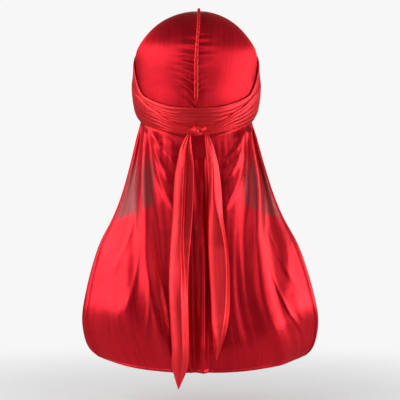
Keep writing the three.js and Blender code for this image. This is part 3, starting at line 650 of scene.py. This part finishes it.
tie_line = np.array([  # second turn: azimuth, height, width, layers under the left one and the right one
    (2, -0.722, 0.17, 2.6, 2.6), (6.6, -0.72, 0.2, 1.8, 1.8), (15, -0.7, 0.27, 1.1, 1.1),
    (22, -0.675, 0.33, 1, 1), (32, -0.62, 0.45, 1, 1), (39, -0.57, 0.57, 1, 1), (48, -0.52, 0.66, 1, 1),
    (62, -0.415, 0.86, 1, 1), (74, -0.325, 0.94, 1, 1),
    (90, -0.13, 0.94, 1, 1), (98, 0.0, 0.92, 1.3, 1.3), (106, 0.13, 0.88, 2, 2), (120, 0.33, 0.76, 2, 2),
    (132, 0.46, 0.66, 2, 2), (142, 0.51, 0.62, 1.3, 2), (152, 0.51, 0.6, 1, 2), (180, 0.41, 0.58, 1, 2),
    (200, 0.29, 0.58, 1, 2), (212, 0.2, 0.6, 1, 2), (224, 0.16, 0.6, 1, 1.1), (232, 0.15, 0.58, 1, 1),
    (248, 0.15, 0.52, 1, 1),
])


def first_lift(azimuth):
    over_cape = 1 - ease(np.abs(azimuth), cape_spread + 3, cape_spread + 18)
    return crown_wall + layer_gap + (cape_wall + layer_gap) * over_cape


def pleats(q, azimuth, count, start, least, extra, near, far):
    """Rounded ridges along the tie with narrow creases between them: the absolute sine of the place across,
    bent by slow waves along the length, to the power 0.6. They are deeper by extra from the nape to the
    azimuth near, and beyond far they have the least depth, both in shares of pleat_depth."""
    a = np.radians(azimuth)
    bend = q + 0.1 * np.sin(2.1 * a + 3 * q + start) + 0.05 * np.sin(5.3 * a + 7 * q + 2 * start)
    ridge = np.abs(np.sin(math.pi * (count * bend / 2 + start))) ** 0.6
    return pleat_depth * (least + extra * (1 - ease(np.abs(azimuth), near, far))) * ridge


def tie_run(name, azimuth, line, lift, hug, pleating, ring=False):
    """A flat strap along the head: sections across it, from edge to edge, at each azimuth, with the height
    and width of the line's table. Its wall halves at its edges, and they sink by hug times the twelfth
    power of the place across."""
    q = np.linspace(1, -1, 57)[None]
    azimuth, lift = azimuth[:, None], lift[:, None]
    height = height_on(line, azimuth)
    half = band_width * through(line[:, 0], line[:, 2], np.abs(azimuth)) / 2
    wall = tie_wall * (1 - 0.5 * np.abs(q) ** 8) + pleats(q, azimuth, **pleating) * (1 - q ** 10)
    lift = lift - hug * np.abs(q) ** 12
    outer = skin(azimuth + 0 * q, height + half * q, lift + wall)
    inner = skin(azimuth + 0 * q, height + half * q, lift + 0 * wall)
    uv = np.stack([half * q, tie_radius * np.radians(azimuth) + 0 * q], -1)
    return cloth(name, outer, inner, uv, ring)


def first_turn():
    azimuth = np.linspace(-180, 180, 520, endpoint=False)
    pleating = dict(count=7, start=0.3, least=0.6, extra=1.1, near=25, far=75)
    return tie_run("tie_inner_turn", azimuth, band_line, first_lift(azimuth), first_hug, pleating, ring=True)


def second_turn(name, side, column, start):
    azimuth = np.linspace(tie_line[0, 0], tie_line[-1, 0], 480)
    lift = first_lift(azimuth) + tie_pitch * through(tie_line[:, 0], tie_line[:, column], azimuth)
    pleating = dict(count=6, start=start, least=0.7, extra=1.5, near=12, far=60)
    return tie_run(name, side * azimuth, tie_line, lift, second_hug, pleating)


# Painted light: the ties and their ends take a lighter copy of the satin than the crown's, for their bright
# straps
tie_satin_painted_light = satin("tie_satin_painted_light", deep=(0.66, 0.008, 0.02), light=(0.95, 0.035, 0.045), rough=(0.34, 0.44),
                  sheen=0.14)
turn_first = first_turn()
turn_left = second_turn("tie_outer_left", -1, 3, 0.15)
turn_right = second_turn("tie_outer_right", 1, 4, 0.4)
dress(turn_first, tie_satin_painted_light, "satin", "tie_first_turn")
dress(turn_left, tie_satin_painted_light, "satin", "tie_left")
dress(turn_right, tie_satin_painted_light, "satin", "tie_right")

# Knot
# The ties' ends are passed round each other once and pulled tight at the nape: a short turn of creased
# cloth holds both, and they come out from under it on either side.
knot_width = 0.019
knot_height = 0.013
knot_depth = 0.012
knot_side = 0.002  # how far to the right of the middle it sits
knot_level = -0.72  # and its height as a share of head_top_rise
knot_clearance = 0.0005
crease_depth = 0.16
crease_turn = 2.2  # how far the creases turn round a roll along it, in radians
knot_cloth = 0.03  # size of a roll on the flat cloth, both ways
knot_rest = skin(np.array(0.0), head_top_rise * knot_level, first_lift(0.0) + tie_wall + pleat_depth)
knot_centre = np.array([knot_side, knot_rest[1] - knot_clearance - knot_depth / 2, knot_rest[2]])

# The knot's rolls, in mm: name, places from the knot's middle (to the side, away from the head, up), half
# widths and half thicknesses along it, how many creases, and where the first starts
knot_rolls = [
    ("knot_turn", [(-4.5, -2, 5), (-3, 3, 3.4), (-1.8, 4.8, 0.2), (-0.8, 3.6, -3.4), (0.6, 0, -5)],
     [1.8, 3, 3.4, 3, 2], [1.2, 1.9, 2.2, 1.8, 1.2], 4, 0.4),
    ("knot_left", [(-7.5, -3, 2.2), (-4.5, 0, 1.2), (-1.5, 1.5, -1.8), (2, 1.8, -3.6), (6, 0, -4.2)],
     [2.8, 2.2, 1.8, 1.6], [1.6, 2.2, 2, 1.2], 5, 1.1),
    ("knot_right", [(9.5, -3, 3.4), (7.4, 0.5, 2.6), (5.2, 2.8, 1.4), (2.6, 3, 2), (-0.5, 2, 4)],
     [3, 2.4, 2.8, 2], [1.6, 2.2, 2.4, 1.4], 5, 2.3),
]


def roll_of_cloth(name, places, wide, thick, creases, start):
    """A gathered roll carried along a smooth line. Each section is an oval, its radius cut by creases that
    run lengthwise and turn a little, and both ends are drawn together at their middle."""
    def along_it(values, t):
        return through(np.linspace(0, 1, len(values)), values, t)

    t = np.linspace(0, 1, 90)
    places = knot_centre + np.array(places) * (0.001, -0.001, 0.001)
    middle = np.stack([along_it(places[:, k], t) for k in range(3)], -1)
    along = np.gradient(middle, axis=0)
    along /= np.linalg.norm(along, axis=1, keepdims=True)
    side = np.cross(along, np.array([0, -1, 0]))
    side /= np.linalg.norm(side, axis=1, keepdims=True)
    up = np.cross(side, along)
    turn = np.linspace(0, 2 * math.pi, 65)[:-1][:, None]
    radius = 0.001 * (1 - crease_depth * np.abs(np.cos(creases * turn / 2 + crease_turn * t + start)) ** 6)
    across = (along_it(wide, t) * radius * np.cos(turn))[..., None] * side
    outward = (along_it(thick, t) * radius * np.sin(turn))[..., None] * up
    sections = middle + across + outward
    ends = [np.broadcast_to(sections[:, k].mean(0), (len(turn), 1, 3)) for k in (0, -1)]
    grid = np.concatenate([ends[0], sections, ends[1]], 1)
    rows, cols = grid.shape[:2]
    index = np.arange(rows * cols).reshape(rows, cols)
    flat = np.stack(np.meshgrid(np.linspace(0, knot_cloth, rows), np.linspace(0, knot_cloth, cols),
                                indexing="ij"), -1)
    return closed_skin(name, grid.reshape(-1, 3), quads(np.vstack([index, index[:1]])), flat.reshape(-1, 2))


# The rolls take the seam's lighter copy of the satin, a painted highlight
for knot_roll in knot_rolls:
    dress(roll_of_cloth(*knot_roll), painted_highlight_satin, "satin", "knot")

# Hanging ends of the ties
# Each end comes out from under the knot and hangs down over the cape, folded lengthwise into a flat strap
# with a groove down its back. The left one is longer and ends in a point below the cape's hem.
tail_width = 0.025
tail_thickness = 0.003
tail_clearance = 0.0012
tail_start = 0.25  # how far below the knot's middle the ends come out, in knot_height
tail_seat_clearance = 0.00035
tail_berth = 0.012  # how far beside an end the cloth behind it still counts
tail_edge = 0.35  # thickness at its edges, as a share of tail_thickness
tail_groove_depth = 0.6
tail_layer = 2.1  # height of the upper layer, in tail_thickness
tail_left_drop = 0.323
tail_right_drop = 0.286
tail_seat = 0.43  # and how far beside it, in knot_width
tail_groove_width = 0.13  # in shares of half the end's width
tail_groove_shift = 0.08  # how far it lies beside the upper layer
tail_crease_depth = 0.14
tail_sway = 0.0012

tail_left_line = np.array([  # how far down, its middle and its width in shares of tail_width, its groove
    (0, -0.4, 0.16, 0.1), (0.03, -0.52, 0.4, 0.5), (0.06, -0.6, 0.6, 0.8), (0.12, -0.63, 0.86, 0.9),
    (0.18, -0.69, 1, 0.9), (0.34, -0.82, 1.03, 0.7), (0.45, -0.9, 1.02, 0.4), (0.6, -0.93, 0.97, 0.15),
    (0.72, -0.89, 0.95, 0), (0.84, -0.88, 0.88, 0), (0.91, -0.93, 0.82, 0), (1, -1.02, 0.06, 0),
])
tail_right_line = np.array([
    (0, 0.44, 0.16, 0.1), (0.045, 0.56, 0.38, 0.3), (0.1, 0.69, 0.5, 0.4), (0.15, 0.78, 0.58, 0.5),
    (0.28, 0.9, 0.68, 0.6), (0.37, 0.95, 0.77, 0.6), (0.475, 1.04, 0.95, 0.6), (0.58, 1.08, 1.04, 0.5),
    (0.78, 1.09, 0.95, 0.4), (0.85, 1.07, 0.82, 0.3), (0.91, 1.04, 0.55, 0.1), (1, 0.98, 0.06, 0),
])

tail_left_fold = np.array([  # how far down, and where across it the upper layer starts, is highest and ends
    (0, -1, -0.3, 0.15), (0.18, -1, -0.12, 0.12), (0.34, -1, -0.1, 0.15), (0.45, -1, 0.05, 0.35),
    (0.58, -1, 0.2, 0.8), (0.72, -1, 0.1, 1), (1, -1, 0, 1),
])
tail_right_fold = np.array([
    (0, -0.5, 0, 1), (0.15, -0.7, -0.1, 1), (0.28, -1, -0.3, 1), (0.4, -1, 0.5, 1), (0.6, -1, 0.65, 1),
    (0.85, -1, 0.3, 1), (1, -1, 0, 1),
])


def tail_rest(down, x, z, half):
    """How far back an end's inner face lies: at each of 21 stations down it, clear of the cape's outermost
    point near it, and not nearer to the head than the knot's middle."""
    stations = np.linspace(0, 1, 21)
    x, z, half = (np.interp(stations, down, values)[:, None] for values in (x, z, half))
    z = np.maximum(z, -cape_corner_drop - cape_hem_sag)
    behind = cape_outer.reshape(1, -1, 3)
    reach = half + tail_berth
    near = (np.abs(behind[..., 0] - x) < reach) & (np.abs(behind[..., 2] - z) < reach)
    outermost = np.where(near, behind[..., 1], 1).min(1)
    rest = np.minimum(outermost, knot_centre[1] + tail_thickness / 2) - tail_clearance
    return through(stations, rest, down)


def tail(name, side, line, drop, folded):
    """A strap folded lengthwise. Across it, the outer face is a rounded cushion with a groove, under an
    upper layer that climbs smoothly to its crest and falls again. Near the knot fine creases, a cosine of
    the place across, run into it."""
    down = np.linspace(0, 1, 260)
    half = tail_width * through(line[:, 0], line[:, 2], down) / 2
    seat = side * (tail_seat * knot_width + tail_seat_clearance + half)
    away = seat + (tail_width * through(line[:, 0], line[:, 1], down) - seat) * ease(down, 0, 0.05)
    x = knot_centre[0] + away
    z = knot_centre[2] - tail_start * knot_height - drop * down
    back = tail_rest(down, x, z, half)
    q = np.linspace(-1, 1, 49)[None]
    down, x, z, half, back = (a[:, None] for a in (down, x, z, half, back))
    starts, crest, ends = (through(folded[:, 0], folded[:, k], down) for k in (1, 2, 3))
    climb = np.clip((q - starts) / (crest - starts), 0, 1)
    layer = climb * (1.6 - 0.6 * climb) * (1 - ease((q - crest) / (ends - crest), 0, 1))
    layer = layer * ease(down, 0.01, 0.12) * (1 - ease(down, 0.93, 1))
    groove = np.exp(-((q - ends - tail_groove_shift) / tail_groove_width) ** 2)
    groove = tail_groove_depth * groove * through(line[:, 0], line[:, 3], down)
    fine = tail_crease_depth * np.cos(9 * q + 3 * down) * (1 - ease(down, 0.03, 0.16))
    rounded = tail_edge + (1 - tail_edge) * np.sqrt(1 - q ** 4)
    depth = tail_thickness * (rounded * (1 - groove + fine) + tail_layer * layer)
    x = x + half * q + tail_sway * np.sin(9 * down + side) * ease(down, 0.1, 0.4)
    outer = np.stack([x, back - depth, z + 0 * q], -1)
    inner = np.stack([x, back + 0 * depth, z + 0 * q], -1)
    uv = np.stack([half * q, drop * down + 0 * q], -1)
    return cloth(name, outer, inner, uv)


tail_left = tail("tie_end_left", -1, tail_left_line, tail_left_drop, tail_left_fold)
tail_right = tail("tie_end_right", 1, tail_right_line, tail_right_drop, tail_right_fold)
dress(tail_left, tie_satin_painted_light, "satin", "tail_left")
dress(tail_right, tie_satin_painted_light, "satin", "tail_right")

# Stage
# A plain pale floor that fades out before its edge, soft studio lights and the camera behind the wearer.
floor_radius = 2.4
floor_height = -0.42
floor_sides = 96
floor_fade = (0.25, 0.9)  # distances from the middle between which it fades out

turn = np.linspace(0, 2 * math.pi, floor_sides + 1)[:-1]
edge = [(floor_radius * math.cos(a), floor_radius * math.sin(a), floor_height) for a in turn]
floor_mesh = bpy.data.meshes.new("floor")
floor_mesh.from_pydata(edge, [], [tuple(range(floor_sides))])
floor = bpy.data.objects.new("floor", floor_mesh)
bpy.context.scene.collection.objects.link(floor)
floor_paint = bpy.data.materials.new("floor_paint")
floor_paint.use_nodes = True
paint = floor_paint.node_tree
spot = add_node(paint, "ShaderNodeTexCoord")
reach = add_node(paint, "ShaderNodeVectorMath", {0: spot.outputs["Object"]}, operation="LENGTH")
fade = add_node(paint, "ShaderNodeMapRange", {
    0: reach.outputs["Value"], "From Min": floor_fade[0], "From Max": floor_fade[1],
    "To Min": 1, "To Max": 0,
}, interpolation_type="SMOOTHSTEP")
set_sockets(paint, paint.nodes["Principled BSDF"], {
    "Base Color": (0.86, 0.86, 0.86, 1), "Roughness": 0.9, "Alpha": fade.outputs[0],
})
floor_mesh.materials.append(floor_paint)

world = bpy.data.worlds.new("studio")
bpy.context.scene.world = world
world.use_nodes = True
sky = world.node_tree
set_sockets(sky, sky.nodes["Background"], {"Color": (1, 1, 1, 1), "Strength": 0.1})
backdrop = add_node(sky, "ShaderNodeBackground", {"Color": (0.93, 0.93, 0.93, 1)})
seen = add_node(sky, "ShaderNodeLightPath")
either = add_node(sky, "ShaderNodeMixShader", {
    0: seen.outputs["Is Camera Ray"], 1: sky.nodes["Background"].outputs[0], 2: backdrop.outputs[0],
})
set_sockets(sky, sky.nodes["World Output"], {0: either.outputs[0]})

soft_lights = [  # name, place, what it points at, width and height, watts
    ("side_light_left", (-1.6, -0.1, 0.6), (0, 0, -0.1), (1.8, 0.9), 20),
    ("side_light_right", (1.6, 0.1, 0.15), (0, 0, -0.1), (1.6, 0.9), 17),
    ("low_light_left", (-1.1, -0.45, -0.2), (0, 0, -0.05), (0.8, 0.28), 4),
    ("low_light_right", (1.1, -0.45, -0.2), (0, 0, -0.05), (0.8, 0.28), 4),
    ("back_light_left", (-1.2, -1.6, 1.35), (0, 0, -0.1), (1.4, 0.5), 7),
    ("back_light_right", (1.2, -1.6, 0.9), (0, 0, -0.1), (1.2, 0.5), 5),
    ("middle_light_left", (-0.95, -1.85, 0.7), (0, 0, 0), (1.7, 0.7), 4),
    ("middle_light_right", (0.95, -1.85, 0.7), (0, 0, 0), (1.4, 0.6), 1),
    ("front_light", (0, 2.4, 0.6), (0, 0, 0), (1.4, 1), 7),
]
for name, place, target, (width, height), watts in soft_lights:
    light = bpy.data.lights.new(name, "AREA")
    light.shape = "RECTANGLE"
    light.size, light.size_y, light.energy = width, height, watts
    lamp = bpy.data.objects.new(name, light)
    lamp.location = place
    lamp.rotation_euler = (Vector(target) - Vector(place)).to_track_quat("-Z", "Y").to_euler()
    lamp.visible_camera = False
    bpy.context.scene.collection.objects.link(lamp)

camera_place = (0.0049, -2.0, -0.1554)
camera_lens = 135.3  # mm, over a sensor of 36 mm
camera = bpy.data.objects.new("camera", bpy.data.cameras.new("camera"))
camera.location = camera_place
camera.rotation_euler = (math.pi / 2, 0, 0)
camera.data.sensor_width = 36
camera.data.lens = camera_lens
bpy.context.scene.collection.objects.link(camera)
bpy.context.scene.camera = camera
bpy.context.scene.view_settings.view_transform = "Standard"
